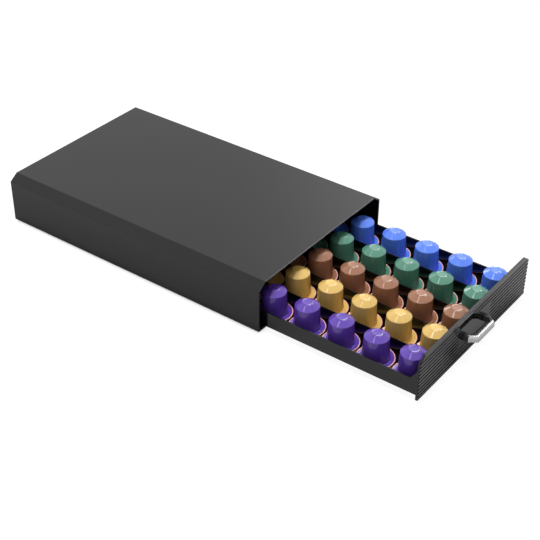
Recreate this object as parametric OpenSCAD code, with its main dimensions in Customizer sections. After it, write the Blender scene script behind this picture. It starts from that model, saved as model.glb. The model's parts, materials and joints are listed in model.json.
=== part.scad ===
// Coffee pod drawer for a worktop: a low casing, open at the front, and a drawer that holds pods
// upright in five columns. The sizes follow from the pods: pods, then tray, then runners, then casing.
// X runs to the right, seen from the front, and Y to the back. The drawer stands part open.

/* [Pods] */
// Diameter over a pod's rolled rim
pod_d = 37.1; // [35:0.1:40]
// Height of a pod
pod_h = 29.6; // [27:0.1:33]
// Diameter of a pod's body, just above its flange
pod_body_d = 26.8; // [25:0.1:29]
// Diameter of a pod's body at its shoulder
pod_shoulder_d = 24.2; // [22:0.1:25]
// Height of the shoulder
pod_shoulder_h = 25; // [20:0.1:25.5]
// Diameter of the flat tip
pod_tip_d = 12; // [8:0.1:15]
// Height of the small step under the flat tip
pod_tip_h = 0.6; // [0.3:0.1:1.5]
// Thickness of a pod's shell
pod_wall = 0.8; // [0.4:0.1:1.2]
// Thickness of the foil that closes a pod
lid_t = 0.3; // [0.2:0.05:0.5]
// Thickness of a pod's flange
flange_t = 0.6; // [0.4:0.1:1]
// Width of the rolled rim
rim_w = 1; // [0.4:0.1:1.2]
// Height of the rolled rim
rim_h = 1.3; // [1:0.1:2]

/* [Tray] */
// Rows of pods that the tray has room for
rows = 8; // [7:1:10]
// Rows that hold pods, counted from the front
filled_rows = 6; // [1:1:6]
// Clearance between a rim and the divider beside it
column_gap = 0.25; // [0.15:0.05:1]
// Clearance between the rims of one column
row_gap = 1.75; // [0.5:0.05:4]
// Clearance between the outer rims and the tray's sides
side_room = 0.55; // [0.3:0.05:4]
// Clearance between the front panel and the first rims
front_room = 0.55; // [0.2:0.05:4]
// Free length behind the last row
rear_room = 13.3; // [4:0.1:40]
// Thickness of the tray's floor
floor_t = 3; // [1.2:0.1:4]
// Thickness of the tray's sides
side_t = 1.5; // [1.2:0.1:3]
// Thickness of the tray's back
tray_back_t = 2; // [1.2:0.1:3]
// Height of the tray, and of the dividers in it
tray_h = 16.8; // [14:0.1:24]
// Height of the fin beside the front panel, over the tray's side
fin_h = 10.9; // [4:0.1:14]
// Length of the fin at its foot
fin_foot_l = 9.3; // [5:0.1:14]
// Length of the fin at its top
fin_top_l = 2.3; // [1:0.1:4]
// Thickness of a divider
divider_t = 1; // [0.8:0.1:2]
// Length of the tab that holds a divider in the floor
tab_l = 12; // [6:1:20]
// Place of the tabs, as a share of the tray's length from each end
tab_place = 0.2; // [0.08:0.01:0.4]
// Clearance of a tab in its slot, and of the back panel in the cover
fit_gap = 0.1; // [0.05:0.05:0.3]

/* [Front panel] */
// Thickness of the front panel
panel_t = 2.6; // [2:0.1:5]
// Clearance beside the closed panel
panel_side_gap = 0.8; // [0.4:0.1:2]
// Clearance over the closed panel
panel_top_gap = 1.9; // [0.4:0.1:4]
// Clearance at the closed panel's sloped corners
panel_slope_gap = 1.6; // [0.4:0.1:3]
// Clearance under the closed panel
panel_foot_gap = 0.5; // [0.4:0.1:1.5]
// Distance from one groove to the next
groove_pitch = 4.15; // [2.5:0.05:8]
// Width of a groove
groove_w = 1.4; // [0.6:0.1:2]
// Depth of a groove
groove_depth = 0.8; // [0.4:0.1:1.5]
// Distance from the panel's top to the middle of the first groove
groove_band = 5.4; // [2:0.1:12]
// Width of the smooth patch behind the handle
patch_w = 59.2; // [48:0.1:120]
// Height of the smooth patch
patch_h = 20.8; // [12:0.1:34]
// Height of the patch's middle over the panel's foot
patch_rise = 25.3; // [20:0.1:30]

/* [Handle] */
// Width over the handle's posts
handle_w = 42; // [34:0.1:80]
// Width of the handle's straight front, outside
handle_front_w = 30.6; // [20:0.1:33]
// How far the handle stands out of the panel
handle_reach = 13.2; // [11:0.1:30]
// Thickness of the bar
handle_bar_t = 3.9; // [3:0.1:5]
// Height of the bar
handle_bar_h = 6.8; // [5:0.1:10]
// Radius of the bar's inner bends
handle_bend_r = 3.5; // [0.5:0.1:5]
// Length of the posts between the panel and the bar
handle_post_l = 5.2; // [4:0.1:7]
// Diameter of the bar's pegs inside the posts
handle_peg_d = 3.4; // [3:0.1:3.6]
// Height of the bar's middle over the panel's foot
handle_rise = 23; // [14:0.1:30]
// Place of the handle and the smooth patch, to the right of the panel's middle
handle_x = -3.5; // [-20:0.1:20]

/* [Casing] */
// Height of the casing without its feet
casing_h = 54; // [50:0.5:80]
// Thickness of the cover
cover_wall = 1.8; // [1:0.1:3]
// Width of the sloped corner
slope_w = 10; // [5:0.1:16]
// Height of the sloped corner
slope_h = 7; // [4:0.1:9]
// Width of the lip along the foot of the cover's sides
lip_w = 8; // [6:0.5:14]
// Thickness of the lip
lip_t = 1.2; // [0.8:0.1:2]
// Thickness of the base plate
base_t = 1.5; // [1:0.1:3]
// Thickness of the back panel
back_t = 1.8; // [1:0.1:3]
// Length of the corner blocks that hold the back panel
block_l = 10; // [7:0.5:20]
// Width of the corner blocks
block_w = 12; // [9:0.5:16]
// Height of the corner blocks below the sloped corner
block_h = 7; // [5:0.5:12]
// Height of a foot
foot_h = 2; // [1.6:0.1:6]
// Diameter of a foot
foot_d = 12; // [8:0.5:20]
// Distance from the casing's sides to a foot's middle
foot_inset = 20; // [18:1:40]
// Distance from the casing's front and back to a foot's middle
foot_setback = 14; // [10:1:40]

/* [Runners] */
// Width of the space between the tray and the cover's side
runner_room = 5.4; // [3.2:0.1:8]
// Clearance under the tray, where it slides on the runners
run_gap = 0.35; // [0.3:0.05:1]
// Clearance between a shoe and its runner
shoe_gap = 0.4; // [0.3:0.05:0.8]
// Clearance between the tray's side and the runner's upper lip
side_gap = 0.6; // [0.4:0.05:1]
// Thickness of a runner's upright web
web_t = 1; // [0.8:0.1:1.4]
// Thickness of a runner's upper lip
runner_lip_t = 1.2; // [0.8:0.1:2]
// Height of a runner over its foot
runner_h = 16.1; // [10:0.1:17]
// Thickness of a runner's foot
runner_foot_t = 1.2; // [1:0.1:4]
// Width of a runner's foot
runner_foot_w = 8.7; // [8:0.1:16]
// Distance from the casing's front to the runners, behind the closed panel
runner_setback = 1.4; // [0.6:0.1:6]
// Length of a shoe
shoe_l = 40; // [24:1:80]
// Height of a shoe over the tray's underside
shoe_foot = 0.8; // [0.2:0.1:3]
// Travel of the drawer, from closed to the stops
travel = 260; // [190:1:270]
// How far the drawer stands open
opened = 174.7; // [60:0.1:180]
// Clearance left at both ends of the travel
end_gap = 0.3; // [0.3:0.1:2]
// Length of a stop block
stop_l = 8; // [4:0.5:16]
// Length of the rear bumpers
bumper_l = 4.4; // [3.2:0.1:12]
// Diameter of the rear bumpers
bumper_d = 9; // [6:0.5:14]
// Distance from the middle of the casing to a rear bumper's middle
bumper_x = 60; // [20:1:80]
// Distance from a shoe's ends to its rivets
rivet_margin = 8; // [4:0.5:10]
// Width of the blocks that end the runners at the back
end_block_w = 10; // [8:0.5:14]

/* [Screws] */
// Diameter of the casing screws' thread
screw_d = 2.5; // [2:0.1:3]
// Diameter of their heads
screw_head_d = 5.2; // [4:0.1:6]
// Height of their heads
screw_head_h = 1.1; // [0.8:0.1:1.5]
// Clearance around a thread in its hole
screw_gap = 0.1; // [0.05:0.05:0.3]
// Diameter of the handle screws' thread
handle_screw_d = 2; // [1.6:0.1:2.2]
// Diameter of their heads
handle_head_d = 4.6; // [3.4:0.1:6]
// Height of their heads
handle_head_h = 1.6; // [1:0.1:2.2]
// Distance from the ends of the runners to the nearest base screws
base_screw_margin = 10; // [6:1:30]
// Distance from the cover's inner side to the base screws
base_screw_inset = 4.5; // [3.5:0.1:6]
// Distance from the sloped corner down to the upper back screws
back_screw_drop = 2.5; // [1.5:0.1:4]
// How deep the back screws reach past the back panel
back_screw_grip = 3.4; // [2:0.1:6]
// Depth of a screw hole past the screw's tip
tip_room = 0.3; // [0.2:0.1:1]
// Diameter of a rivet's shank
rivet_d = 2.4; // [1.6:0.1:3]
// Diameter of a rivet's head
rivet_head_d = 4.2; // [3:0.1:6]
// Height of a rivet's head, sunk in the shoe
rivet_head_h = 0.8; // [0.4:0.1:1.2]

/* [Hidden] */
$fn = 48;

// Five columns, because each column is a node of its own
columns = 5;
column_pitch = pod_d + 2 * column_gap + divider_t;
row_pitch = pod_d + row_gap;
first_row_y = panel_t + front_room + pod_d / 2;
function column_x(i) = (i - (columns - 1) / 2) * column_pitch;
function row_y(j) = first_row_y + j * row_pitch;

// Tray, with Y counted from the front panel's face
tray_inner_half = column_x(columns - 1) + pod_d / 2 + side_room;
tray_half = tray_inner_half + side_t;
tray_inner_back = row_y(rows - 1) + pod_d / 2 + rear_room;
tray_back = tray_inner_back + tray_back_t;

// Casing, with Y counted from its front
cover_inner_half = tray_half + runner_room;
casing_half = cover_inner_half + cover_wall;
back_y = tray_back + end_gap + bumper_l;
casing_d = back_y + back_t;
cover_top = casing_h - cover_wall;

// Heights, counted from the casing's lower edge
lip_top = base_t + lip_t;
runner_foot_top = lip_top + runner_foot_t;
tray_z = runner_foot_top + run_gap;
floor_z = tray_z + floor_t;
tray_top = tray_z + tray_h;
runner_top = runner_foot_top + runner_h;
runner_lip_z = runner_top - runner_lip_t;

// The sloped corner's line, moved inwards by t: its height at x, and its x at height z
slope_len = sqrt(slope_w * slope_w + slope_h * slope_h);
slope_nx = slope_h / slope_len;
slope_nz = slope_w / slope_len;
function slope_c(t) = slope_nx * casing_half + slope_nz * (casing_h - slope_h) - t;
function slope_z(x, t) = (slope_c(t) - slope_nx * x) / slope_nz;
function slope_x(z, t) = (slope_c(t) - slope_nz * z) / slope_nx;

// Front panel
panel_half = cover_inner_half - panel_side_gap;
panel_z = lip_top + panel_foot_gap;
panel_top = cover_top - panel_top_gap;
panel_slope_t = cover_wall + panel_slope_gap;
patch_z = panel_z + patch_rise;
handle_z = panel_z + handle_rise;

// Handle, with Y counted outwards from the front panel's face
arm_rise = handle_reach - handle_post_l;
arm_run = (handle_w - handle_front_w) / 2;
arm_x_t = handle_bar_t * sqrt(arm_rise * arm_rise + arm_run * arm_run) / arm_rise;
function arm_x(y) = handle_front_w / 2 + (handle_reach - y) * arm_run / arm_rise;
post_x = [handle_w / 2 - arm_x_t, handle_w / 2];
post_middle = (post_x[0] + post_x[1]) / 2;
handle_thread_tip = handle_post_l - 2 * tip_room;

// Runners, shoes and stops
runner_y = panel_t + runner_setback;
lip_x = tray_half + side_gap;
web_x = cover_inner_half - web_t;
shoe_x = web_x - shoe_gap;
shoe_y = tray_back - shoe_l;
shoe_z = tray_z + shoe_foot;
shoe_top = runner_lip_z - shoe_gap;
stop_y = shoe_y - travel - end_gap;
end_block_y = tray_back + end_gap;

// Screws
base_screw_x = cover_inner_half - base_screw_inset;
base_screw_tip = runner_foot_top - tip_room;
screw_hole_r = screw_d / 2 + screw_gap;
back_screw_x = cover_inner_half - end_block_w / 2;
back_screw_z = [(lip_top + runner_top) / 2, slope_z(cover_inner_half, cover_wall) - back_screw_drop];
back_screw_l = back_t + back_screw_grip;

// The origin: middle of the whole part, handle and screw heads included, at the feet's underside
middle_y = (casing_d + screw_head_h - opened - handle_reach) / 2;

module casing_frame() {
    translate([0, -middle_y, foot_h]) children();
}

module drawer_frame() {
    translate([0, -middle_y - opened, foot_h]) children();
}

// The left-hand copy of what is drawn at the right
module left() {
    mirror([1, 0, 0]) children();
}

// A plate drawn in X and Z, from y0 back to y1
module along_y(y0, y1) {
    translate([0, y1, 0]) rotate([90, 0, 0]) linear_extrude(y1 - y0) children();
}

module block(x0, x1, y0, y1, z0, z1) {
    translate([x0, y0, z0]) cube([x1 - x0, y1 - y0, z1 - z0]);
}

module rod_z(x, y, z0, z1, r) {
    translate([x, y, z0]) cylinder(h = z1 - z0, r = r);
}

module rod_y(x, y0, y1, z, r) {
    translate([x, y0, z]) rotate([-90, 0, 0]) cylinder(h = y1 - y0, r = r);
}

module rod_x(x0, x1, y, z, r) {
    translate([x0, y, z]) rotate([0, 90, 0]) cylinder(h = x1 - x0, r = r);
}

// An outline with two sloped upper corners, t inside the cover's outer face
module sloped_outline(half, foot, top, t) {
    polygon([
        [-half, foot], [half, foot], [half, slope_z(half, t)], [slope_x(top, t), top],
        [-slope_x(top, t), top], [-half, slope_z(half, t)]
    ]);
}

function base_screw_y(i) =
    runner_y + base_screw_margin + i * (back_y - runner_y - 2 * base_screw_margin) / 2;

module base_screw_places() {
    for (s = [-1, 1], i = [0:2]) translate([s * base_screw_x, base_screw_y(i), 0]) children();
}

module casing_cover() {
    color("#2b2b2d") casing_frame() difference() {
        union() {
            difference() {
                along_y(0, casing_d) sloped_outline(casing_half, 0, casing_h, 0);
                along_y(-1, casing_d + 1) sloped_outline(cover_inner_half, -1, cover_top, cover_wall);
            }
            for (s = [0, 1]) mirror([s, 0, 0])
                block(cover_inner_half - lip_w, cover_inner_half + cover_wall / 2, 0, back_y, base_t, lip_top);
        }
        base_screw_places() cylinder(h = lip_top + 1, r = screw_hole_r);
    }
}

module base_plate() {
    color("#242426") casing_frame() difference() {
        block(-cover_inner_half + fit_gap, cover_inner_half - fit_gap, 0, casing_d, 0, base_t);
        base_screw_places() translate([0, 0, -1]) cylinder(h = base_t + 2, r = screw_hole_r);
    }
}

module back_panel() {
    color("#242426") casing_frame() difference() {
        along_y(back_y, casing_d)
            sloped_outline(cover_inner_half - fit_gap, base_t, cover_top - fit_gap, cover_wall + fit_gap);
        for (s = [-1, 1], z = back_screw_z)
            rod_y(s * back_screw_x, back_y - 1, casing_d + 1, z, screw_hole_r);
    }
}

module corner_block() {
    inner = cover_inner_half - block_w;
    foot = slope_z(cover_inner_half, cover_wall) - block_h;
    difference() {
        along_y(back_y - block_l, back_y) polygon([
            [inner, foot], [cover_inner_half, foot],
            [cover_inner_half, slope_z(cover_inner_half, cover_wall)],
            [max(inner, slope_x(cover_top, cover_wall)), min(cover_top, slope_z(inner, cover_wall))],
            [inner, min(cover_top, slope_z(inner, cover_wall))]
        ]);
        rod_y(back_screw_x, casing_d - back_screw_l - tip_room, back_y + 1, back_screw_z[1], screw_hole_r);
    }
}

module corner_block_right() {
    color("#1d1d1f") casing_frame() corner_block();
}

module corner_block_left() {
    color("#1d1d1f") casing_frame() left() corner_block();
}

// A channel with a wide foot: the tray slides on the foot, and the shoe runs under the upper lip
module runner() {
    difference() {
        union() {
            block(cover_inner_half - runner_foot_w, cover_inner_half,
                runner_y, back_y, lip_top, runner_foot_top);
            block(web_x, cover_inner_half, runner_y, back_y, lip_top, runner_top);
            block(lip_x, cover_inner_half, runner_y, back_y, runner_lip_z, runner_top);
            block(cover_inner_half - end_block_w, cover_inner_half, end_block_y, back_y, lip_top, runner_top);
        }
        base_screw_places() translate([0, 0, lip_top - 1]) cylinder(h = runner_foot_t + 2, r = screw_hole_r);
        rod_y(back_screw_x, end_block_y - 1, back_y + 1, back_screw_z[0], screw_hole_r);
    }
}

module runner_right() {
    color("#161617") casing_frame() runner();
}

module runner_left() {
    color("#161617") casing_frame() left() runner();
}

module stop_block() {
    block(lip_x, web_x, stop_y - stop_l, stop_y, runner_foot_top, runner_lip_z);
}

module stop_block_right() {
    color("#3a3a3c") casing_frame() stop_block();
}

module stop_block_left() {
    color("#3a3a3c") casing_frame() left() stop_block();
}

module rear_bumper() {
    rod_y(bumper_x, back_y - bumper_l, back_y, tray_z + tray_h / 2, bumper_d / 2);
}

module rear_bumper_right() {
    color("#4a4a4c") casing_frame() rear_bumper();
}

module rear_bumper_left() {
    color("#4a4a4c") casing_frame() left() rear_bumper();
}

module foot(side, y) {
    color("#1a1a1a") casing_frame() rod_z(side * (casing_half - foot_inset), y, -foot_h, 0, foot_d / 2);
}

module foot_front_left() {
    foot(-1, foot_setback);
}

module foot_front_right() {
    foot(1, foot_setback);
}

module foot_rear_left() {
    foot(-1, casing_d - foot_setback);
}

module foot_rear_right() {
    foot(1, casing_d - foot_setback);
}

module base_screws() {
    color("#8c8c8c") casing_frame() base_screw_places() {
        rod_z(0, 0, -screw_head_h, 0, screw_head_d / 2);
        rod_z(0, 0, -screw_head_h / 2, base_screw_tip, screw_d / 2);
    }
}

module back_screws() {
    color("#8c8c8c") casing_frame() for (s = [-1, 1], z = back_screw_z) {
        rod_y(s * back_screw_x, casing_d, casing_d + screw_head_h, z, screw_head_d / 2);
        rod_y(s * back_screw_x, casing_d - back_screw_l, casing_d + screw_head_h / 2, z, screw_d / 2);
    }
}

function rivet_y(i) = shoe_y + rivet_margin + i * (shoe_l - 2 * rivet_margin);
rivet_z = (shoe_z + shoe_top) / 2;
function tab_y(i) = tray_inner_back * (i == 0 ? tab_place : 1 - tab_place);
function divider_x(i) = column_x(i) + column_pitch / 2;

// One side of the tray in Y and Z, with the fin that rises to the front panel
module tray_side() {
    translate([tray_inner_half, 0, 0]) rotate([90, 0, 90]) linear_extrude(side_t) polygon([
        [panel_t, tray_z], [tray_back, tray_z], [tray_back, tray_top],
        [panel_t + fin_foot_l, tray_top], [panel_t + fin_top_l, tray_top + fin_h],
        [panel_t, tray_top + fin_h]
    ]);
}

module drawer_tray() {
    color("#262628") drawer_frame() difference() {
        union() {
            block(-tray_half, tray_half, panel_t, tray_back, tray_z, floor_z);
            block(-tray_half, tray_half, tray_inner_back, tray_back, tray_z, tray_top);
            tray_side();
            left() tray_side();
        }
        for (i = [0:columns - 2], t = [0:1]) block(
            divider_x(i) - divider_t / 2 - fit_gap, divider_x(i) + divider_t / 2 + fit_gap,
            tab_y(t) - tab_l / 2 - fit_gap, tab_y(t) + tab_l / 2 + fit_gap, tray_z - 1, floor_z + 1);
        for (s = [-1, 1], i = [0:1])
            rod_x(s * tray_half - side_t * 1.5, s * tray_half + side_t * 1.5, rivet_y(i), rivet_z,
                rivet_d / 2 + screw_gap);
    }
}

module divider(i) {
    color("#141415") drawer_frame() {
        block(divider_x(i) - divider_t / 2, divider_x(i) + divider_t / 2,
            panel_t + fit_gap, tray_inner_back - fit_gap, floor_z, tray_top);
        for (t = [0:1]) block(divider_x(i) - divider_t / 2, divider_x(i) + divider_t / 2,
            tab_y(t) - tab_l / 2, tab_y(t) + tab_l / 2, tray_z, floor_z + tray_h / 4);
    }
}

module divider_1() {
    divider(0);
}

module divider_2() {
    divider(1);
}

module divider_3() {
    divider(2);
}

module divider_4() {
    divider(3);
}

groove_count = floor((panel_top - panel_z - groove_band - groove_w) / groove_pitch) + 1;
function groove_z(i) = panel_top - groove_band - i * groove_pitch;

// A groove runs the full width, or stops at both sides of the smooth patch
module groove(z) {
    stops = abs(z - patch_z) < patch_h / 2 ? patch_w / 2 : -1;
    for (x = [[-panel_half - 1, handle_x - stops], [handle_x + stops, panel_half + 1]])
        block(x[0], x[1], -1, groove_depth, z - groove_w / 2, z + groove_w / 2);
}

module front_panel() {
    color("#2b2b2d") drawer_frame() difference() {
        along_y(0, panel_t) sloped_outline(panel_half, panel_z, panel_top, panel_slope_t);
        for (i = [0:groove_count - 1]) groove(groove_z(i));
        for (s = [-1, 1])
            rod_y(handle_x + s * post_middle, -1, panel_t + 1, handle_z, handle_screw_d / 2 + screw_gap);
    }
}

// What is drawn flat, as seen from above with Y outwards, and stands out of the panel's face
module handle_level() {
    drawer_frame() translate([handle_x, 0, handle_z - handle_bar_h / 2]) mirror([0, 1, 0])
        linear_extrude(handle_bar_h) children();
}

// A rod in each post, from y0 to y1 outwards of the panel's face
module handle_rods(y0, y1, r) {
    drawer_frame() for (s = [-1, 1]) rod_y(handle_x + s * post_middle, -y1, -y0, handle_z, r);
}

// The space inside the bar, with round bends
module bar_inside() {
    inner_y = handle_reach - handle_bar_t;
    bend = atan2(arm_rise, arm_run);
    bend_l = handle_bend_r * tan(bend / 2);
    corner_x = arm_x(inner_y) - arm_x_t;
    difference() {
        polygon([
            [-post_x[0], handle_post_l - 1], [-post_x[0], handle_post_l], [-corner_x, inner_y],
            [corner_x, inner_y], [post_x[0], handle_post_l], [post_x[0], handle_post_l - 1]
        ]);
        for (s = [0, 1]) mirror([s, 0]) difference() {
            polygon([
                [corner_x - bend_l, inner_y], [corner_x - bend_l, inner_y + 1], [corner_x + 1, inner_y + 1],
                [corner_x + bend_l * cos(bend), inner_y - bend_l * sin(bend)],
                [corner_x - bend_l, inner_y - handle_bend_r]
            ]);
            translate([corner_x - bend_l, inner_y - handle_bend_r]) circle(r = handle_bend_r);
        }
    }
}

module handle_bar() {
    color("#d8d8d8") difference() {
        union() {
            handle_level() difference() {
                polygon([
                    [-handle_w / 2, handle_post_l], [-handle_front_w / 2, handle_reach],
                    [handle_front_w / 2, handle_reach], [handle_w / 2, handle_post_l]
                ]);
                bar_inside();
            }
            handle_rods(0, handle_post_l + handle_bar_t / 4, handle_peg_d / 2);
        }
        handle_rods(-1, handle_thread_tip + tip_room, handle_screw_d / 2 + screw_gap);
    }
}

module handle_post(s) {
    difference() {
        handle_level() mirror([s, 0]) polygon([
            [post_x[0], 0], [post_x[1], 0], [post_x[1], handle_post_l], [post_x[0], handle_post_l]
        ]);
        handle_rods(-1, handle_post_l + 1, handle_peg_d / 2 + fit_gap);
    }
}

module handle_post_right() {
    color("#1d1d1f") handle_post(0);
}

module handle_post_left() {
    color("#1d1d1f") handle_post(1);
}

module handle_screws() {
    color("#8c8c8c") {
        handle_rods(-panel_t - handle_head_h, -panel_t, handle_head_d / 2);
        handle_rods(-panel_t - handle_head_h / 2, handle_thread_tip, handle_screw_d / 2);
    }
}

module slide_shoe() {
    difference() {
        block(tray_half, shoe_x, shoe_y, tray_back, shoe_z, shoe_top);
        for (i = [0:1]) {
            rod_x(tray_half - 1, shoe_x + 1, rivet_y(i), rivet_z, rivet_d / 2 + screw_gap);
            rod_x(shoe_x - rivet_head_h, shoe_x + 1, rivet_y(i), rivet_z, rivet_head_d / 2 + screw_gap);
        }
    }
}

module slide_shoe_right() {
    color("#e6e4dc") drawer_frame() slide_shoe();
}

module slide_shoe_left() {
    color("#e6e4dc") drawer_frame() left() slide_shoe();
}

module shoe_rivet(i) {
    rod_x(shoe_x - rivet_head_h, shoe_x, rivet_y(i), rivet_z, rivet_head_d / 2);
    rod_x(tray_inner_half, shoe_x - rivet_head_h / 2, rivet_y(i), rivet_z, rivet_d / 2);
}

module shoe_rivets() {
    color("#9a9a9a") drawer_frame() for (i = [0:1]) {
        shoe_rivet(i);
        left() shoe_rivet(i);
    }
}

// A pod stands on its foil. The shell is open below, where the foil closes it
module pod_shell() {
    flange_z = lid_t + flange_t;
    tip_z = pod_h - pod_tip_h;
    rotate_extrude() polygon([
        [pod_body_d / 2 - pod_wall, lid_t], [pod_d / 2 - rim_w, lid_t], [pod_d / 2 - rim_w, flange_z],
        [pod_body_d / 2, flange_z], [pod_shoulder_d / 2, pod_shoulder_h], [pod_tip_d / 2, tip_z],
        [pod_tip_d / 2 - pod_tip_h / 2, pod_h], [0, pod_h], [0, pod_h - pod_wall],
        [pod_tip_d / 2 - pod_wall, pod_h - pod_wall - pod_tip_h],
        [pod_shoulder_d / 2 - pod_wall, pod_shoulder_h - pod_wall / 2]
    ]);
}

// The foil, with the rim that is rolled up around the flange
module pod_lid() {
    rotate_extrude() polygon([
        [0, 0], [pod_d / 2, 0], [pod_d / 2, rim_h], [pod_d / 2 - rim_w, rim_h],
        [pod_d / 2 - rim_w, lid_t], [0, lid_t]
    ]);
}

module in_column(i) {
    drawer_frame() for (j = [0:filled_rows - 1]) translate([column_x(i), row_y(j), floor_z]) children();
}

module pods_purple() {
    color("#5b3fa6") in_column(0) pod_shell();
}

module pods_gold() {
    color("#d8b25a") in_column(1) pod_shell();
}

module pods_brown() {
    color("#a9745a") in_column(2) pod_shell();
}

module pods_green() {
    color("#4f8a72") in_column(3) pod_shell();
}

module pods_blue() {
    color("#4c78d8") in_column(4) pod_shell();
}

module lids_purple() {
    color("#e3b7ae") in_column(0) pod_lid();
}

module lids_gold() {
    color("#e3b7ae") in_column(1) pod_lid();
}

module lids_brown() {
    color("#e3b7ae") in_column(2) pod_lid();
}

module lids_green() {
    color("#e3b7ae") in_column(3) pod_lid();
}

module lids_blue() {
    color("#e3b7ae") in_column(4) pod_lid();
}

casing_cover();
base_plate();
back_panel();
corner_block_left();
corner_block_right();
runner_left();
runner_right();
stop_block_left();
stop_block_right();
rear_bumper_left();
rear_bumper_right();
foot_front_left();
foot_front_right();
foot_rear_left();
foot_rear_right();
base_screws();
back_screws();
drawer_tray();
divider_1();
divider_2();
divider_3();
divider_4();
front_panel();
handle_bar();
handle_post_left();
handle_post_right();
handle_screws();
slide_shoe_left();
slide_shoe_right();
shoe_rivets();
pods_purple();
pods_gold();
pods_brown();
pods_green();
pods_blue();
lids_purple();
lids_gold();
lids_brown();
lids_green();
lids_blue();
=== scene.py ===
import json
import math

import bmesh
import bpy
from mathutils import Matrix, Vector


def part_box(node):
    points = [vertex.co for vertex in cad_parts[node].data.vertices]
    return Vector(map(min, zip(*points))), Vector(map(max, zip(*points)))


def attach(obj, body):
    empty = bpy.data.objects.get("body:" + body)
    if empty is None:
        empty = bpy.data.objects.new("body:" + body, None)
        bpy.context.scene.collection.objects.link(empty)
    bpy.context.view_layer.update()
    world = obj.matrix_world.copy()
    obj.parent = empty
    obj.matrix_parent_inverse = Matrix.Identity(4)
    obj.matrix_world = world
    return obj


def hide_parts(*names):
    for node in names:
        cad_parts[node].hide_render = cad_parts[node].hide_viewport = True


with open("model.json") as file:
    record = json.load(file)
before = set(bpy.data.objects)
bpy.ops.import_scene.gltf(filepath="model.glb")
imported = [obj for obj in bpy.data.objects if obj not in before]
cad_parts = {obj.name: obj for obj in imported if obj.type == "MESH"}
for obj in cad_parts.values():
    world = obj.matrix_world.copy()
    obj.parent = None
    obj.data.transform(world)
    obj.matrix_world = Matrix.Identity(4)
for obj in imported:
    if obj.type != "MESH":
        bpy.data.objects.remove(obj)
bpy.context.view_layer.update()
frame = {"nodes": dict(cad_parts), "record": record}
cadNodes = frame["nodes"]
scene = bpy.context.scene
scene.view_settings.view_transform = "Standard"
mm = 0.001


# Camera

cameraSetup = {
    "place": (-0.843953, -0.633150, 0.722520),   # metres
    "azimuth": -53.4925,                         # degrees, 0 looks along +Y
    "elevation": 34.9358,
    "roll": 0.4324,
    "lens": 81.53,                               # mm, on the sensor below
    "sensor": 36.0,
}


def makeCamera(setup):
    azimuth, elevation, roll = (math.radians(setup[k]) for k in ("azimuth", "elevation", "roll"))
    back = Vector((math.sin(azimuth) * math.cos(elevation),
                   -math.cos(azimuth) * math.cos(elevation), math.sin(elevation)))
    right = Vector((0, 0, 1)).cross(back).normalized()
    turn = Matrix((right, back.cross(right), back)).transposed() @ Matrix.Rotation(roll, 3, "Z")
    data = bpy.data.cameras.new("camera")
    data.lens, data.sensor_width = setup["lens"], setup["sensor"]
    camera = bpy.data.objects.new("camera", data)
    scene.collection.objects.link(camera)
    camera.matrix_world = Matrix.Translation(setup["place"]) @ turn.to_4x4()
    return camera


scene.camera = makeCamera(cameraSetup)
print("camera placed")


# Shader maths

class Value:             # wraps a socket, so that sums and products of it add Math nodes
    def __init__(self, shader, socket):
        self.shader, self.socket = shader, socket

    def __add__(self, other):
        return self.shader.maths("ADD", self, other)

    def __mul__(self, other):
        return self.shader.maths("MULTIPLY", self, other)

    def __sub__(self, other):
        return self.shader.maths("SUBTRACT", self, other)

    def __rsub__(self, other):
        return self.shader.maths("SUBTRACT", other, self)

    __radd__, __rmul__ = __add__, __mul__

    def between(self, low, high, atLow=0.0, atHigh=1.0):   # eases from atLow to atHigh
        settings = {"interpolation_type": "SMOOTHSTEP"}
        return self.shader.add("ShaderNodeMapRange", settings, {
            "Value": self, "From Min": low, "From Max": high, "To Min": atLow, "To Max": atHigh})


class Shader:            # one node tree, of a material or of the world
    def __init__(self, owner):
        owner.use_nodes = True
        self.owner, self.tree = owner, owner.node_tree
        self.tree.nodes.clear()

    def add(self, kind, settings=None, sockets=None, output=0):
        node = self.tree.nodes.new(kind)
        for name, setting in (settings or {}).items():
            setattr(node, name, setting)
        for name, value in (sockets or {}).items():
            if isinstance(value, Value):
                self.tree.links.new(value.socket, node.inputs[name])
            elif isinstance(value, tuple) and node.inputs[name].type == "RGBA":
                node.inputs[name].default_value = (*value, 1)
            else:
                node.inputs[name].default_value = value
        return Value(self, node.outputs[output]) if len(node.outputs) else None

    def maths(self, operation, *values):
        return self.add("ShaderNodeMath", {"operation": operation}, dict(enumerate(values)))

    def place(self, stretch=(1, 1, 1)):      # where a point is on the piece, in metres
        where = self.add("ShaderNodeTexCoord", output="Object")
        return self.add("ShaderNodeMapping", {}, {"Vector": where, "Scale": stretch})

    def noise(self, size, detail, stretch=(1, 1, 1)):                  # patches about size metres wide
        return self.add("ShaderNodeTexNoise", {}, {
            "Vector": self.place(stretch), "Scale": 1 / size, "Detail": detail, "Roughness": 0.5})

    def blend(self, mask, first, second):    # one colour into another
        return self.add("ShaderNodeMix", {"data_type": "RGBA"}, {0: mask, 6: first, 7: second}, 2)

    def tones(self, mask, colour, shares):   # a colour, from its first share to its second one
        low, high = shares
        return self.blend(mask, shade(colour, low), shade(colour, high))

    def relief(self, height, depth, strength):                         # depth in metres
        return self.add("ShaderNodeBump", {}, {
            "Height": height, "Distance": depth, "Strength": strength})

    def surface(self, sockets):              # ends the tree and gives its material
        skin = self.add("ShaderNodeBsdfPrincipled", {}, sockets)
        self.add("ShaderNodeOutputMaterial", {}, {"Surface": skin})
        return self.owner


def shade(colour, share):
    return tuple(min(1.0, c * share) for c in colour)


# Finishes

# tones are the darkest and the lightest share of a colour, strength is that of the relief, and
# a name that ends in Rough says how much of that pattern the roughness takes

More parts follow.
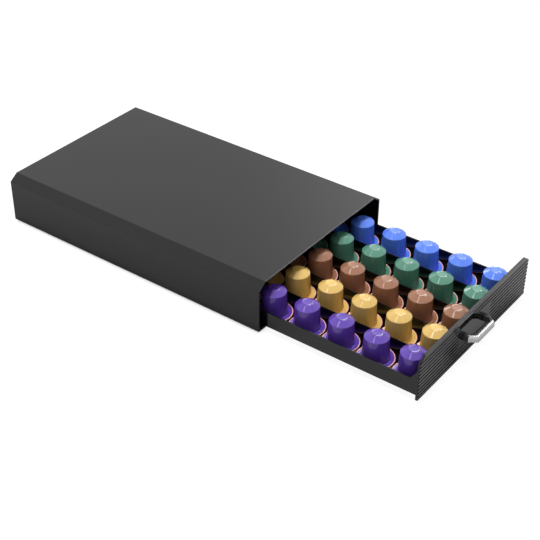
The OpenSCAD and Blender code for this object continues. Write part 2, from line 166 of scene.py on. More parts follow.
mouldMarks = {
    "tones": (0.86, 1.14), "flowRough": 0.05, "grainRough": 0.04, "strength": 0.6,
    "rubbedTone": 1.35, "rubbedShare": 0.3,
    "rubbedFrom": (0.45, 0.75),              # noise between which a spot turns rubbed
    "rubbedSize": 0.25, "rubbedWay": (1.0, 0.35, 1.0),       # of the flow's size, long front to back
}


def mouldedPlastic(name, look):     # plastic off a tool: fine grain, faint flow marks, rubbed spots
    s, marks, colour = Shader(bpy.data.materials.new(name)), mouldMarks, look["colour"]
    flow, grain = s.noise(look["flow"], 3.0), s.noise(look["grain"], 2.0)
    spots = s.noise(look["flow"] * marks["rubbedSize"], 4.0, marks["rubbedWay"])
    rubbed = spots.between(*marks["rubbedFrom"])
    tone = s.tones(flow, colour, marks["tones"])
    return s.surface({
        "Base Color": s.blend(rubbed * marks["rubbedShare"], tone, shade(colour, marks["rubbedTone"])),
        "Roughness": (flow * marks["flowRough"] + rubbed * look["polish"] + grain * marks["grainRough"]
                      + (look["rough"] - marks["grainRough"])),
        "IOR": 1.5,
        "Normal": s.relief(grain, look["depth"], marks["strength"]),
    })


glossMarks = {
    "tones": (0.85, 1.15), "flowRough": 0.04, "hairRough": 0.07, "strength": 0.5,
    "hairFrom": (0.58, 0.8),                 # noise between which a hairline shows
    "hairSize": 0.1, "hairWay": (0.06, 1.0, 1.0),            # of the flow's size, long across
}


def glossPlastic(name, look):       # polished plastic with a faint ripple and hairline marks
    s, marks = Shader(bpy.data.materials.new(name)), glossMarks
    flow = s.noise(look["flow"], 2.0)
    lines = s.noise(look["flow"] * marks["hairSize"], 3.0, marks["hairWay"])
    hair = lines.between(*marks["hairFrom"])
    return s.surface({
        "Base Color": s.tones(flow, look["colour"], marks["tones"]),
        "Roughness": (flow * marks["flowRough"] + hair * marks["hairRough"]
                      + (look["rough"] - marks["flowRough"] / 2)),
        "IOR": 1.5,
        "Normal": s.relief(s.noise(look["ripple"], 1.0), look["depth"], marks["strength"]),
    })


rubberMarks = {
    "dust": 0.004, "dustFrom": (0.5, 0.75), "dustTone": 2.2, "dustShare": 0.5, "dustRough": 0.1,
    "skin": 0.0006, "depth": 0.00004, "strength": 0.7,       # its fine skin
}


def rubber(name, look):             # dull, with dusty patches
    s, marks, colour = Shader(bpy.data.materials.new(name)), rubberMarks, look["colour"]
    dust = s.noise(marks["dust"], 4.0).between(*marks["dustFrom"])
    return s.surface({
        "Base Color": s.blend(dust * marks["dustShare"], colour, shade(colour, marks["dustTone"])),
        "Roughness": dust * marks["dustRough"] + look["rough"],
        "Normal": s.relief(s.noise(marks["skin"], 2.0), marks["depth"], marks["strength"]),
    })


plateMarks = {"tones": (0.9, 1.06), "lineSize": 1 / 3, "strength": 0.4}


def platedSteel(name, look):        # metal plate: cloudy or mirror-like, with fine drawn lines
    s, marks, uneven = Shader(bpy.data.materials.new(name)), plateMarks, look["uneven"]
    cloud = s.noise(look["cloud"], 3.0)
    lines = s.noise(look["cloud"] * marks["lineSize"], 2.0, look["drawn"])
    return s.surface({
        "Base Color": s.tones(cloud, look["colour"], marks["tones"]),
        "Metallic": 1.0,
        "Roughness": cloud * uneven + lines * uneven + (look["rough"] - uneven),
        "Normal": s.relief(lines, look["depth"], marks["strength"]),
    })


def podLacquer(name, look):         # coloured lacquer over drawn aluminium
    s, uneven = Shader(bpy.data.materials.new(name)), look["uneven"]
    each = s.add("ShaderNodeAttribute", {"attribute_name": "eachPod"}, output="Fac")
    cloud, drawn = s.noise(look["cloud"], 3.0), s.noise(look["drawn"], 2.0, look["drawnWay"])
    height = s.add("ShaderNodeSeparateXYZ", {}, {0: s.place()}, "Z")
    return s.surface({
        "Base Color": s.tones(cloud * (1 - look["eachShare"]) + each * look["eachShare"],
                              look["colour"], look["tones"]),
        "Metallic": look["metal"],
        "Roughness": cloud * uneven + drawn * uneven + (look["rough"] - uneven),
        "IOR": 1.5,
        "Specular IOR Level": 0.0,
        "Coat Weight": height.between(*look["flange"], look["thinCoat"], 1.0),
        "Coat Roughness": look["coatRough"],
        "Coat IOR": look["coatIor"],
        "Normal": s.relief(drawn, look["depth"], look["strength"]),
    })


def foil(name, look):               # thin rolled foil with small creases
    s = Shader(bpy.data.materials.new(name))
    crease = s.noise(look["crease"], 3.0, look["creaseWay"])
    return s.surface({
        "Base Color": s.tones(crease, look["colour"], look["tones"]),
        "Metallic": look["metal"],
        "Roughness": crease * look["creaseRough"] + look["rough"],
        "Specular IOR Level": look["shine"],
        "Normal": s.relief(crease, look["depth"], look["strength"]),
    })


finishes = {             # sizes of the patterns in metres
    "cover_satin": mouldedPlastic("coverSatin", {
        "colour": (0.004, 0.004, 0.0042), "rough": 0.195, "polish": -0.012,
        "flow": 0.07, "grain": 0.0009, "depth": 0.000006}),
    "tray_satin": mouldedPlastic("traySatin", {
        "colour": (0.004, 0.004, 0.0042), "rough": 0.12, "polish": -0.03,
        "flow": 0.05, "grain": 0.0008, "depth": 0.000003}),
    "inner_black": mouldedPlastic("innerBlack", {
        "colour": (0.012, 0.012, 0.012), "rough": 0.45, "polish": -0.06,
        "flow": 0.05, "grain": 0.0012, "depth": 0.00003}),
    "runner_nylon": mouldedPlastic("runnerNylon", {
        "colour": (0.01, 0.01, 0.01), "rough": 0.4, "polish": -0.12,
        "flow": 0.03, "grain": 0.0008, "depth": 0.00001}),
    "post_black": mouldedPlastic("postBlack", {
        "colour": (0.05, 0.05, 0.051), "rough": 0.3, "polish": -0.05,
        "flow": 0.01, "grain": 0.0006, "depth": 0.000002}),
    "shoe_plastic": mouldedPlastic("shoePlastic", {
        "colour": (0.75, 0.73, 0.68), "rough": 0.35, "polish": -0.1,
        "flow": 0.02, "grain": 0.0008, "depth": 0.00001}),
    "panel_gloss": glossPlastic("panelGloss", {
        "colour": (0.004, 0.004, 0.0042), "rough": 0.07, "flow": 0.05, "ripple": 0.012, "depth": 0.000004}),
    "divider_gloss": glossPlastic("dividerGloss", {
        "colour": (0.002, 0.002, 0.0023), "rough": 0.07, "flow": 0.04, "ripple": 0.01, "depth": 0.000006}),
    "stop_rubber": rubber("stopRubber", {"colour": (0.03, 0.03, 0.03), "rough": 0.75}),
    "foot_rubber": rubber("footRubber", {"colour": (0.02, 0.02, 0.02), "rough": 0.7}),
    "zinc_steel": platedSteel("zincSteel", {
        "colour": (0.55, 0.55, 0.54), "rough": 0.32, "uneven": 0.1,
        "cloud": 0.003, "drawn": (1, 1, 6), "depth": 0.00001}),
    "handle_chrome": platedSteel("handleChrome", {
        "colour": (0.58, 0.58, 0.59), "rough": 0.11, "uneven": 0.02,
        "cloud": 0.008, "drawn": (0.2, 3, 3), "depth": 0.000002}),
    "lid_foil": foil("lidFoil", {
        "colour": (0.95, 0.47, 0.41), "tones": (0.85, 1.1), "metal": 0.0, "rough": 0.28,
        "shine": 0.15, "crease": 0.0014, "creaseWay": (1.0, 1.0, 0.4), "creaseRough": 0.12,
        "depth": 0.00006, "strength": 0.5}),
}
podLook = {              # shared by all the pods, apart from their colours
    "metal": 0.0, "rough": 0.4, "uneven": 0.05, "coatIor": 1.6, "coatRough": 0.03,
    "flange": (0.0112, 0.0126), "thinCoat": 0.35,     # metres, below which the coat is as thin as this
    "cloud": 0.006, "drawn": 0.0012, "drawnWay": (1.0, 1.0, 0.12), "depth": 0.00001, "strength": 0.5,
    "tones": (0.93, 1.07), "eachShare": 0.4,          # how much of the tone changes from pod to pod
    "colours": {
        "purple": (0.112, 0.050, 0.40),
        "gold": (0.76, 0.50, 0.14),
        "brown": (0.345, 0.158, 0.089),
        "green": (0.09, 0.265, 0.19),
        "blue": (0.10, 0.235, 0.90),
    },
}
for colourName, colour in podLook["colours"].items():
    lacquer = podLacquer("podLacquer" + colourName.title(), {**podLook, "colour": colour})
    finishes["pod_" + colourName] = lacquer
print("finishes mixed:", len(finishes))


# Shaping

def pieceFrom(name, mesh):
    piece = bpy.data.objects.new(name, mesh)
    scene.collection.objects.link(piece)
    return piece


def settle(piece, body, slot, *nodes):      # hangs a finished piece on its body
    piece.data.materials.clear()
    piece.data.materials.append(finishes[slot])
    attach(piece, body)
    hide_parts(*nodes)


def applied(piece):                         # its modifiers become part of its mesh
    graph = bpy.context.evaluated_depsgraph_get()
    mesh = bpy.data.meshes.new_from_object(piece.evaluated_get(graph))
    old = piece.data
    piece.modifiers.clear()
    piece.data = mesh
    bpy.data.meshes.remove(old)
    mesh.name = piece.name
    return piece


shaping = {
    "merge": 0.002 * mm,     # points that are closer become one
    "flat": 0.5,             # degrees: faces that turn less are joined before the rounding
    "rounded": 25,           # degrees: edges that turn more are rounded,
    "shortest": 1.1 * mm,    # unless they are shorter than this
    "sharp": 35,             # degrees: edges that turn more shade sharp
}


def turned(edge):                           # how far the surface turns over an edge
    return edge.calc_face_angle(0.0)


def mergedCopy(node):                       # a node's loose triangles, joined
    work = bmesh.new()
    work.from_mesh(cadNodes[node].data)
    bmesh.ops.remove_doubles(work, verts=work.verts, dist=shaping["merge"])
    return work


def plainMesh(work, name):
    mesh = bpy.data.meshes.new(name)
    work.to_mesh(mesh)
    work.free()
    return mesh


def roundMesh(work, name, sharp=None):      # shades round, apart from edges that turn by more than sharp
    bmesh.ops.recalc_face_normals(work, faces=work.faces)
    for face in work.faces:
        face.smooth = True
    if sharp:
        for edge in work.edges:
            edge.smooth = turned(edge) < math.radians(sharp)
    return plainMesh(work, name)


def weighted(piece):                        # keeps wide faces flat beside their rounded edges
    modifier = piece.modifiers.new("weighted", "WEIGHTED_NORMAL")
    modifier.keep_sharp = True
    return applied(piece)


def softenedCopy(node, name, radius, steps):
    # a node's shape with its long sharp edges rounded, radius in mm
    work = mergedCopy(node)
    flat, rounded = math.radians(shaping["flat"]), math.radians(shaping["rounded"])
    bmesh.ops.dissolve_limit(work, angle_limit=flat, verts=work.verts, edges=work.edges)
    chosen = [e for e in work.edges if turned(e) > rounded and e.calc_length() > shaping["shortest"]]
    bmesh.ops.bevel(work, geom=chosen, offset=radius * mm, offset_type="OFFSET",
                    segments=steps, profile=0.5, affect="EDGES", clamp_overlap=True)
    return weighted(pieceFrom(name, roundMesh(work, name, shaping["sharp"])))


rigidPieces = {       # node: its piece, body and slot, the radius of its edges in mm, steps over a round
    "casing_cover": ("casingCover", "casing", "cover_satin", 0.8, 4),
    "base_plate": ("basePlate", "casing", "inner_black", 0.3, 2),
    "back_panel": ("backPanel", "casing", "inner_black", 0.4, 2),
    "runner_left": ("runnerLeft", "casing", "runner_nylon", 0.25, 2),
    "runner_right": ("runnerRight", "casing", "runner_nylon", 0.25, 2),
    "drawer_tray": ("drawerTray", "drawer", "tray_satin", 0.35, 2),
    "front_panel": ("frontPanel", "drawer", "panel_gloss", 0.06, 2),
    "divider_1": ("divider1", "drawer", "divider_gloss", 0.2, 2),
    "divider_2": ("divider2", "drawer", "divider_gloss", 0.2, 2),
    "divider_3": ("divider3", "drawer", "divider_gloss", 0.2, 2),
    "divider_4": ("divider4", "drawer", "divider_gloss", 0.2, 2),
    "handle_post_left": ("handlePostLeft", "drawer", "post_black", 0.5, 3),
    "handle_post_right": ("handlePostRight", "drawer", "post_black", 0.5, 3),
}
for node, (name, body, slot, radius, steps) in rigidPieces.items():
    settle(softenedCopy(node, name, radius, steps), body, slot, node)
print("rigid pieces softened:", len(rigidPieces))


# Handle bar

bar = {                  # mm; across is counted from the handle's middle, out from the panel's face
    "across": 21.0, "front": 15.3,        # half widths at the posts and at the front
    "start": 5.2, "reach": 13.2,          # it stands out from one to the other
    "thick": 3.9, "high": 6.8,
    "corner": 0.6, "bend": 3.5,           # radii of the outer corners and of the inner bends
    "edge": 0.45,                         # radius of the long edges
    "crease": 1.0, "lean": 1.0,           # height of the crease, and how far the upper band leans in
    "creaseRound": ((-0.5, 0.0), (-0.15, 0.0), (0.0, 0.03), (0.15, 0.07)),   # up from the crease, and in
    "cornerSteps": 8, "edgeSteps": 4,     # over a round
    "sharp": 25,                          # degrees: edges that turn more shade sharp
}


def barLine(inset, radius, inner):
    # half of the bar's plan at one side, from the post to the middle, with its corner rounded
    run, rise = bar["across"] - bar["front"], bar["reach"] - bar["start"]
    slant = math.hypot(run, rise) / rise
    shift = inset + (bar["thick"] if inner else 0)
    reach = bar["reach"] - shift
    foot = Vector((bar["across"] - shift * slant, bar["start"]))
    corner = Vector((foot.x - (reach - bar["start"]) * run / rise, reach))
    arm, front = (foot - corner).normalized(), Vector((-1, 0))
    turn = math.pi - arm.angle(front)
    ease = radius * math.tan(turn / 2)
    centre = corner + front * ease - Vector((0, radius))
    start, steps = math.pi / 2 - turn, bar["cornerSteps"]
    arc = [centre + radius * Vector((math.cos(a), math.sin(a)))
           for a in (start + turn * k / steps for k in range(steps + 1))]
    return [foot, *arc]


def barMesh(name, place):
    # rings from the foot of the bar to its top, lofted
    half, edge, steps = bar["high"] / 2, bar["edge"], bar["edgeSteps"]
    quarter = [math.pi / 2 * k / steps for k in range(steps + 1)]
    rounds = [(edge * (1 - math.sin(a)), edge * (1 - math.cos(a))) for a in quarter]
    levels = [(rise - half, inward, inward) for rise, inward in reversed(rounds)]
    levels += [(bar["crease"] + rise, inward, 0.0) for rise, inward in bar["creaseRound"]]
    levels += [(half - drop, bar["lean"] + inward, inward) for drop, inward in rounds]
    work = bmesh.new()
    rings = []
    for z, outer, inner in levels:
        sides = [barLine(outer, bar["corner"], False), barLine(-inner, bar["bend"], True)]
        lines = [[Vector((-p.x, p.y)) for p in side] + side[::-1] for side in sides]
        height = place.z + z * mm
        rings.append([[work.verts.new((place.x + p.x * mm, place.y - p.y * mm, height)) for p in line]
                      for line in lines])
    loops = [outer + inner[::-1] for outer, inner in rings]
    for low, high in zip(loops, loops[1:]):
        for i in range(len(low)):
            j = (i + 1) % len(low)
            work.faces.new((low[i], low[j], high[j], high[i]))
    for outer, inner in (rings[0], rings[-1]):
        for i in range(len(outer) - 1):
            work.faces.new((outer[i], outer[i + 1], inner[i + 1], inner[i]))
    return roundMesh(work, name, bar["sharp"])


leftPost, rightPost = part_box("handle_post_left"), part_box("handle_post_right")
handlePlace = Vector(((leftPost[0].x + rightPost[1].x) / 2, leftPost[1].y,
                      (leftPost[0].z + leftPost[1].z) / 2))
handleBar = pieceFrom("handleBar", barMesh("handleBar", handlePlace))
settle(weighted(handleBar), "drawer", "handle_chrome", "handle_bar")
print("handle bar shaped")


# Turned shapes

easeSteps = (0, 0.25, 0.5, 0.75, 1)         # along the round of a corner


def softened(corners):
    # an outline (radius, height) whose corners are eased by the third number; a fourth one
    # adds points that far beyond the round, which keep the faces beside it flat
    line = []
    for i, (r, z, ease, *guard) in enumerate(corners):
        here = Vector((r, z))
        if not ease:
            line.append(here)
            continue
        back, on = ((Vector(corners[j][:2]) - here).normalized() for j in (i - 1, i + 1))
        line.extend(here + back * (ease + g) for g in guard)
        start, end = here + back * ease, here + on * ease
        for t in easeSteps:
            line.append(start * (1 - t) ** 2 + here * 2 * t * (1 - t) + end * t ** 2)
        line.extend(here + on * (ease + g) for g in guard)
    return line


def turnedMesh(name, outlineAt, angles):
    # closed round body: its outline, in mm, may change with the angle; both ends lie on the axis
    work = bmesh.new()
    rings = []
    for angle in angles:
        outline = outlineAt(angle)
        rings.append([work.verts.new((p.x * math.cos(angle) * mm, p.x * math.sin(angle) * mm, p.y * mm))
                      for p in outline[1:-1]])
    ends = [work.verts.new((0, 0, p.y * mm)) for p in (outline[0], outline[-1])]
    for ring, following in zip(rings, rings[1:] + rings[:1]):
        work.faces.new((ends[0], following[0], ring[0]))
        work.faces.new((ends[1], ring[-1], following[-1]))
        for i in range(len(ring) - 1):
            work.faces.new((ring[i], following[i], following[i + 1], ring[i + 1]))
    return roundMesh(work, name)


def evenAngles(count):
    return [math.tau * i / count for i in range(count)]


# Copies by Geometry Nodes

class Weaving:           # a Geometry Nodes tree that is built from short lines
    def __init__(self, name, inputs):
        self.tree = bpy.data.node_groups.new(name, "GeometryNodeTree")
        self.sockets = {}
        self.tree.interface.new_socket("Geometry", in_out="INPUT", socket_type="NodeSocketGeometry")
        for title, kind in inputs.items():
            made = self.tree.interface.new_socket(title, in_out="INPUT", socket_type="NodeSocket" + kind)
            self.sockets[title] = made.identifier
        self.tree.interface.new_socket("Geometry", in_out="OUTPUT", socket_type="NodeSocketGeometry")
        self.given = self.tree.nodes.new("NodeGroupInput").outputs

    def add(self, kind, settings=None, sockets=None):
        node = self.tree.nodes.new(kind)
        for title, setting in (settings or {}).items():
            setattr(node, title, setting)
        for title, value in (sockets or {}).items():
            if isinstance(value, bpy.types.NodeSocket):
                self.tree.links.new(value, node.inputs[title])
            else:
                node.inputs[title].default_value = value
        return node.outputs

    def end(self, geometry):
        whole = self.add("GeometryNodeRealizeInstances", {}, {"Geometry": geometry})[0]
        painted = self.add("GeometryNodeSetMaterial", {}, {
            "Geometry": whole, "Material": self.given["Material"]})[0]
        last = self.tree.nodes.new("NodeGroupOutput")
        self.tree.links.new(painted, last.inputs[0])


def makeCopyTree():      # one copy of a shape on each point, each with a chance number of its own
    w = Weaving("copiesOnPoints", {
        "Shape": "Object", "Turn": "Rotation", "Seed": "Int", "Material": "Material"})
    shape = w.add("GeometryNodeObjectInfo", {}, {"Object": w.given["Shape"]})
    copies = w.add("GeometryNodeInstanceOnPoints", {}, {
        "Points": w.given["Geometry"], "Instance": shape["Geometry"], "Rotation": w.given["Turn"]})[0]
    chance = w.add("FunctionNodeRandomValue", {"data_type": "FLOAT"}, {"Seed": w.given["Seed"]})[1]
    marked = w.add("GeometryNodeStoreNamedAttribute", {"data_type": "FLOAT", "domain": "INSTANCE"}, {
        "Geometry": copies, "Name": "eachPod", "Value": chance})[0]
    w.end(marked)
    return w


copyTree = makeCopyTree()


def solidsOf(node):
    # lowest and highest corner of each separate solid of a node
    work = mergedCopy(node)
    left, found = set(work.verts), []
    while left:
        island, edge = set(), [next(iter(left))]
        while edge:
            vert = edge.pop()
            if vert in island:
                continue
            island.add(vert)
            edge.extend(e.other_vert(vert) for e in vert.link_edges)
        left -= island
        places = [v.co for v in island]
        found.append((Vector(min(p[i] for p in places) for i in range(3)),
                      Vector(max(p[i] for p in places) for i in range(3))))
    work.free()
    return sorted(found, key=lambda b: tuple(round(c, 5) for c in b[0]))


def copiesOf(shape, name, points, slot, turn=(0, 0, 0), seed=1):
    # one mesh with a copy of the shape on every point
    mesh = bpy.data.meshes.new(name)
    mesh.from_pydata(points, [], [])
    piece = pieceFrom(name, mesh)
    weave = piece.modifiers.new("copies", "NODES")
    weave.node_group = copyTree.tree
    for title, value in (("Shape", shape), ("Turn", turn), ("Seed", seed), ("Material", finishes[slot])):
        weave[copyTree.sockets[title]] = value
    return applied(piece)


# Pods and their lids

pod = {                  # mm, from the foil's underside
    "facets": 12,
    "bottom": 0.3, "flange": 17.4,
    "rim": ((0.0, 1.1, 0.15), (1.0, 1.0, 0.4), (1.8, 0.8, 0.3)),    # in from the flange's edge, height, ease
    "foot": 13.42, "footUp": 0.8, "footEase": 0.8,
    "shoulder": 12.1, "shoulderTop": 25.0, "shoulderEase": 0.45,
    "tip": 6.0, "tipTop": 29.0, "tipEase": 0.12,
    # in and up from the tip's edge, and ease
    "crest": ((0.3, 0.02, 0.08), (0.5, 0.4, 0.12), (1.3, 0.6, 0.12), (1.8, 0.4, 0.12)),
    "dish": 0.35,        # height of the middle over the tip's edge
    "guard": 0.2,        # width of the strip that keeps a facet flat beside its round edges
    "ridge": 4.5,        # degrees, half the round between two facets
    "facetSteps": (-1, -0.9, -0.45, 0, 0.45, 0.9, 1),        # shares of half a facet's flat
    "ridgeSteps": 4,     # over half the round
}


def podOutline(angle):
    spread, ridge = math.pi / pod["facets"], math.radians(pod["ridge"])
    away = spread - abs((angle + spread) % (2 * spread) - spread)     # from the nearest ridge
    if away < ridge:
        flatness = math.cos(spread) + math.sin(spread) * (away ** 2 / ridge + ridge) / 2
    else:
        flatness = math.cos(spread - away)
    slope = (pod["tipTop"] - pod["shoulderTop"]) / (pod["shoulder"] - pod["tip"])
    shoulderUp = pod["tipTop"] - slope * (pod["shoulder"] * flatness - pod["tip"])
    return softened([
        (0, pod["bottom"], 0),
        (pod["flange"], pod["bottom"], 0),
        *((pod["flange"] - inward, up, ease) for inward, up, ease in pod["rim"]),
        (pod["foot"], pod["footUp"], pod["footEase"], pod["guard"]),
        (pod["shoulder"], shoulderUp, pod["shoulderEase"], pod["guard"]),
        (pod["tip"] / flatness, pod["tipTop"], pod["tipEase"], pod["guard"]),
        *((pod["tip"] - inward, pod["tipTop"] + up, ease) for inward, up, ease in pod["crest"]),
        (0, pod["tipTop"] + pod["dish"], 0),
    ])


def podAngles():
    spread, ridge, steps = math.pi / pod["facets"], math.radians(pod["ridge"]), pod["ridgeSteps"]
    flat = [share * (spread - ridge) for share in pod["facetSteps"]]
    bend = [spread + ridge * k / steps for k in range(1 - steps, steps)]
    return [2 * spread * i + a for i in range(pod["facets"]) for a in flat + bend]


lid = {                  # mm, from the foil's underside
    "faces": (0.02, 0.28),                # heights of the flat foil's underside and top
    "roll": 17.95, "rollUp": 0.6,         # where the middle of the rolled edge lies
    "round": 0.52,                        # its radius
    "inside": (1.2, 1.0),                 # how far in from that middle the two faces end
    "halfTurn": 12, "points": 22,         # points to half a turn of the roll, and in all of it
    "sides": 72,
}


def lidOutline(_angle):   # a thin disc whose edge is rolled up and over the flange
    under, over = lid["faces"]
    underEnd, overEnd = (lid["roll"] - inward for inward in lid["inside"])
    roll = [Vector((lid["roll"] + lid["round"] * math.sin(a), lid["rollUp"] - lid["round"] * math.cos(a)))
            for a in (math.pi * k / lid["halfTurn"] for k in range(lid["points"]))]
    return [Vector((0, under)), Vector((underEnd, under)), *roll, Vector((overEnd, over)), Vector((0, over))]


podShape = pieceFrom("podShape", turnedMesh("podShape", podOutline, podAngles()))
lidShape = pieceFrom("lidShape", turnedMesh("lidShape", lidOutline, evenAngles(lid["sides"])))
for i, colourName in enumerate(podLook["colours"]):
    places = [Vector(((low.x + high.x) / 2, (low.y + high.y) / 2, low.z))
              for low, high in solidsOf("lids_" + colourName)]
    pods = copiesOf(podShape, "pods" + colourName.title(), places, "pod_" + colourName, seed=i)
    settle(pods, "drawer", "pod_" + colourName, "pods_" + colourName)
    lids = copiesOf(lidShape, "lids" + colourName.title(), places, "lid_foil", seed=i)
    settle(lids, "drawer", "lid_foil", "lids_" + colourName)
print("pods stand in their columns")


# Screws, rivets and feet

screws = {               # mm: radius and height of the head, radius of the thread, length under the head
    "baseScrew": (2.55, 1.05, 1.22, 3.5),
    "backScrew": (2.55, 1.05, 1.22, 4.6),
    "handleScrew": (2.25, 1.55, 0.97, 6.6),
}
screwForm = {
    "point": 0.7, "pointLong": 0.5,       # share of the thread's radius, and mm
    "side": 0.45, "crown": 0.72,          # shares of the head's height and radius
    "arm": (1.1, 0.24), "armHigh": 1.3,   # the cross's arms, in shares of the head's radius and height
    "armUp": 1.15, "apart": 1e-7,         # keeps the two arms' tops off one plane, metres to a degree
    "eases": (0.1, 0.2, 0.5), "sides": 40,
}
rivetForm = {            # mm: radius, height and ease of each corner
    "line": [(0, -4.2, 0), (1.15, -4.2, 0.1), (1.15, -0.75, 0), (2.05, -0.7, 0.1),
             (2.05, -0.25, 0.15), (1.4, -0.05, 0.3), (0, -0.02, 0)],
    "sides": 40,
}
footForm = {
    "line": [(0, 0, 0), (3.6, 0, 0.2), (4.0, 0.35, 0.2), (4.6, 0.35, 0.2), (5.0, 0, 0.2),
             (5.6, 0, 0.3), (6.0, 0.7, 0.4), (5.8, 2.0, 0), (0, 2.0, 0)],
    "sides": 48,
}


def turnedPiece(name, line, sides):
    outline = softened(line)
    return pieceFrom(name, turnedMesh(name, lambda _angle: outline, evenAngles(sides)))


def crossHead(name, head, height, thread, length):
    # a pan head with a cross recess, which points up, over its thread
    form = screwForm
    pointEase, sideEase, crownEase = form["eases"]
    screw = turnedPiece(name, [
        (0, -length, 0), (thread * form["point"], -length, 0),
        (thread, -length + form["pointLong"], pointEase), (thread, 0, 0), (head, 0, 0),
        (head, height * form["side"], sideEase), (head * form["crown"], height, crownEase),
        (0, height, 0)], form["sides"])
    arm = Vector((*(head * share for share in form["arm"]), height * form["armHigh"])) * mm
    work = bmesh.new()
    for turn in (0, 90):
        box = bmesh.ops.create_cube(work, size=1)["verts"]
        up = height * form["armUp"] * mm + turn * form["apart"]
        bmesh.ops.scale(work, vec=arm, verts=box)
        bmesh.ops.rotate(work, matrix=Matrix.Rotation(math.radians(turn), 3, "Z"), verts=box)
        bmesh.ops.translate(work, vec=(0, 0, up), verts=box)
    tool = pieceFrom("recess", plainMesh(work, "recess"))
    cut = screw.modifiers.new("cut", "BOOLEAN")
    cut.operation, cut.object, cut.solver, cut.use_self = "DIFFERENCE", tool, "EXACT", True
    applied(screw)
    bpy.data.objects.remove(tool)
    for face in screw.data.polygons:
        face.use_smooth = True
    screw.data.set_sharp_from_angle(angle=math.radians(shaping["sharp"]))
    return screw


def middle(box, **pinned):     # a box's middle, with some coordinates given
    low, high = box
    return Vector(pinned.get(axis, (low[i] + high[i]) / 2) for i, axis in enumerate("xyz"))


def fasteners(name, shape, node, body, headAt, turn):
    # headAt gives the seat under a head and its group, from its box, and turn gives a group's turn
    groups = {}
    for box in solidsOf(node):
        place, key = headAt(box)
        groups.setdefault(key, []).append(place)
    parts = [copiesOf(shape, name + str(key), places, "zinc_steel", turn(key))
             for key, places in sorted(groups.items())]
    with bpy.context.temp_override(active_object=parts[0], selected_editable_objects=parts):
        bpy.ops.object.join()
    parts[0].name = name
    settle(parts[0], body, "zinc_steel", node)


baseScrew, backScrew, handleScrew = (crossHead(name, *sizes) for name, sizes in screws.items())
rivetShape = turnedPiece("rivet", rivetForm["line"], rivetForm["sides"])
footShape = turnedPiece("footShape", footForm["line"], footForm["sides"])
quarterTurn, crossTurn = math.pi / 2, 0.4             # the second turns the crosses of the base screws
plateUnder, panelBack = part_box("base_plate")[0].z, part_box("front_panel")[1].y
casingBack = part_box("back_panel")[1].y
fasteners("baseScrews", baseScrew, "base_screws", "casing",
          lambda box: (middle(box, z=plateUnder), 0), lambda _key: (math.pi, 0, crossTurn))
fasteners("backScrews", backScrew, "back_screws", "casing",
          lambda box: (middle(box, y=casingBack), 0), lambda _key: (-quarterTurn, 0, 0))
fasteners("handleScrews", handleScrew, "handle_screws", "drawer",
          lambda box: (middle(box, y=panelBack), 0), lambda _key: (-quarterTurn, 0, 0))
fasteners("shoeRivets", rivetShape, "shoe_rivets", "drawer",
          lambda box: ((middle(box, x=box[1].x), 1) if box[0].x > 0 else (middle(box, x=box[0].x), 0)),
          lambda key: (0, quarterTurn if key else -quarterTurn, 0))
for node in ("foot_front_left", "foot_front_right", "foot_rear_left", "foot_rear_right"):
    name = "".join(word.title() if i else word for i, word in enumerate(node.split("_")))
    foot = copiesOf(footShape, name, [middle(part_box(node), z=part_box(node)[0].z)], "foot_rubber")
    settle(foot, "casing", "foot_rubber", node)
for shape in (podShape, lidShape, baseScrew, backScrew, handleScrew, rivetShape, footShape):
    bpy.data.objects.remove(shape)
print("fasteners and feet in place")


# Nodes that show as they are

for part in frame["record"]["subparts"]:
    node = cadNodes[part["node"]]
    if not node.hide_render:
        node.data.materials.clear()
        node.data.materials.append(finishes[part["material_slot"]])
print("carried-over nodes painted")


# Floor, lamps and surroundings

studio = {
    "floorHalf": 20.0, "floorGlow": 0.92, "floorColour": (0.15, 0.15, 0.15),
    "fade": (0.45, 0.9),                  # metres from the middle, over which the floor turns white
    "contact": 0.007,                     # metres: the floor darkens under what is nearer than this,
    "contactOpen": (0.12, 0.32),          # where less than such a share of the sky is free
    "floorInShine": (0.445, 0.445, 0.445),   # the floor as shiny surfaces see it
    "pool": 0.28,                         # painted light that lies on it there, and the metres of its soft edges
    "poolBack": (-0.12, -0.07), "poolSide": (-0.165, -0.115),
    "poolLeft": (-0.075, -0.01), "poolRight": (0.05, 0.14),
    "diffuse": 0.40,                      # what the surroundings give to dull surfaces
    "ground": 0.6, "sky": 0.9, "zenith": 0.85,          # what shiny surfaces see
    "horizon": (-0.2, 0.1), "crown": (0.6, 0.95),       # heights between which one turns into the next
    "cards": [                            # soft white cards: direction, cosines from edge to middle, level
        ((0.814, 0.296, 0.5), 0.963, 1.0, 1.0),
    ],
    "overhead": ((0.02, 0.05, 1.0), 2.5, (20.0, 20.0), 24.0),       # lights the dull surfaces
    "windows": {       # show in the shiny ones: direction, distance, degrees across and high, level
        "ridgeWindow": ((-0.262, 0.14, 0.955), 6.0, (12.0, 12.0), 8.0),
        "edgeWindow": ((0.69, 0.05, 0.722), 6.0, (22.0, 12.0), 11.5),
        "rimWindow": ((0.56, -0.58, 0.59), 6.0, (9.0, 9.0), 7.0),
        "tipWindow": ((0.40, 0.06, 0.91), 6.0, (24.0, 20.0), 9.0),
        "backWindow": ((0.475, 0.81, 0.345), 6.0, (6.5, 6.5), 3.8),
    },
}
white = (1.0, 1.0, 1.0)


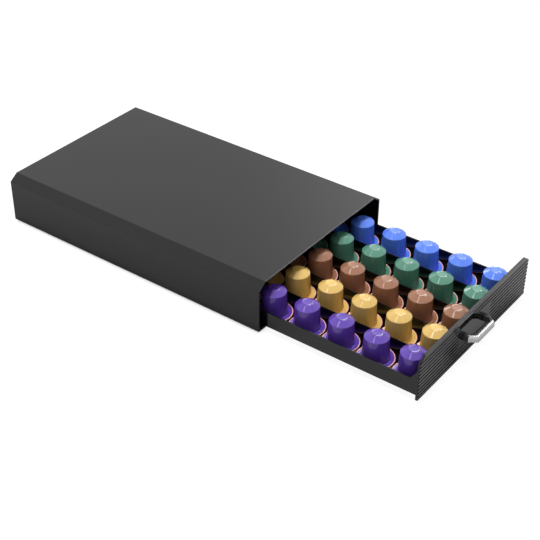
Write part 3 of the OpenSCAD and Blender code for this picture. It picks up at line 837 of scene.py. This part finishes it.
def makeFloor():
    work = bmesh.new()
    bmesh.ops.create_grid(work, x_segments=1, y_segments=1, size=studio["floorHalf"])
    mesh = plainMesh(work, "floor")
    s = Shader(bpy.data.materials.new("floorPaint"))

    def mixed(mask, first, second):
        return s.add("ShaderNodeMixShader", {}, {0: mask, 1: first, 2: second})

    place = s.place()
    across, along = (s.add("ShaderNodeSeparateXYZ", {}, {0: place}, axis) for axis in "XY")
    away = s.add("ShaderNodeVectorMath", {"operation": "LENGTH"}, {0: place}, "Value")
    glow, pool, plain = (s.add("ShaderNodeEmission", {}, {"Color": white, "Strength": strength})
                         for strength in (studio["floorGlow"], studio["pool"], 1.0))

    # as the camera sees it: pale with the object's shadow, a painted contact shadow close under it, white far
    # away
    paint = s.add("ShaderNodeBsdfDiffuse", {}, {"Color": studio["floorColour"]})
    near = s.add("ShaderNodeAddShader", {}, {0: glow, 1: paint})
    # painted contact shadow: the glow is left out where little of the sky is free
    free = s.add("ShaderNodeAmbientOcclusion", {"samples": 4}, {"Distance": studio["contact"]}, "AO")
    grounded = mixed(free.between(*studio["contactOpen"]), paint, near)
    shown = mixed(away.between(*studio["fade"]), grounded, plain)

    # as shiny surfaces see it: with a painted pool of light beside the casing and one before the drawer
    beside = along.between(*studio["poolBack"])
    before = (0.5 + across.between(*studio["poolRight"])
              - across.between(*studio["poolLeft"], 0.0, 0.5))
    side = 0.5 - across.between(*studio["poolSide"], 0.0, 0.5)
    dim = s.add("ShaderNodeBsdfDiffuse", {}, {"Color": studio["floorInShine"]})
    # the painted pool of light: a glow added to the floor's diffuse colour
    lit = s.add("ShaderNodeAddShader", {}, {0: dim, 1: pool})
    mirrored = mixed(side * beside + before * (1 - beside), dim, lit)

    seen = s.add("ShaderNodeLightPath", output="Is Camera Ray")
    s.add("ShaderNodeOutputMaterial", {}, {"Surface": mixed(seen, mirrored, shown)})
    mesh.materials.append(s.owner)
    pieceFrom("floor", mesh)


def makeLamp(name, direction, distance, degrees, level, shiny):
    data = bpy.data.lights.new(name, "AREA")
    data.shape = "RECTANGLE"
    data.size, data.size_y = (distance * math.radians(angle) for angle in degrees)
    data.energy = level * math.pi * data.size * data.size_y
    lamp = bpy.data.objects.new(name, data)
    scene.collection.objects.link(lamp)
    lamp.visible_glossy, lamp.visible_diffuse = shiny, not shiny
    lamp.visible_camera = False
    away = Vector(direction).normalized()
    lamp.location = away * distance
    lamp.rotation_euler = away.to_track_quat("Z", "Y").to_euler()


def makeSurroundings():
    world = bpy.data.worlds.new("studio")
    scene.world = world
    s = Shader(world)
    seen, mirrored, through = (s.add("ShaderNodeLightPath", output="Is " + kind + " Ray")
                               for kind in ("Camera", "Glossy", "Transmission"))
    way = s.add("ShaderNodeTexCoord", output="Generated")
    up = s.add("ShaderNodeSeparateXYZ", {}, {0: way}, "Z")
    around = (up.between(*studio["horizon"], studio["ground"], studio["sky"])
              - up.between(*studio["crown"], 0.0, studio["sky"] - studio["zenith"]))
    for direction, edge, centre, level in studio["cards"]:
        towards = s.add("ShaderNodeVectorMath", {"operation": "DOT_PRODUCT"}, {0: way, 1: direction}, "Value")
        around = around + towards.between(edge, centre, 0.0, level)
    shiny = s.maths("MINIMUM", mirrored + through, 1.0)
    strength = seen + (1 - seen) * (shiny * around + (1 - shiny) * studio["diffuse"])
    glow = s.add("ShaderNodeBackground", {}, {"Color": white, "Strength": strength})
    s.add("ShaderNodeOutputWorld", {}, {"Surface": glow})


makeFloor()
makeLamp("overhead", *studio["overhead"], False)
for name, window in studio["windows"].items():
    makeLamp(name, *window, True)
makeSurroundings()
print("studio lit")
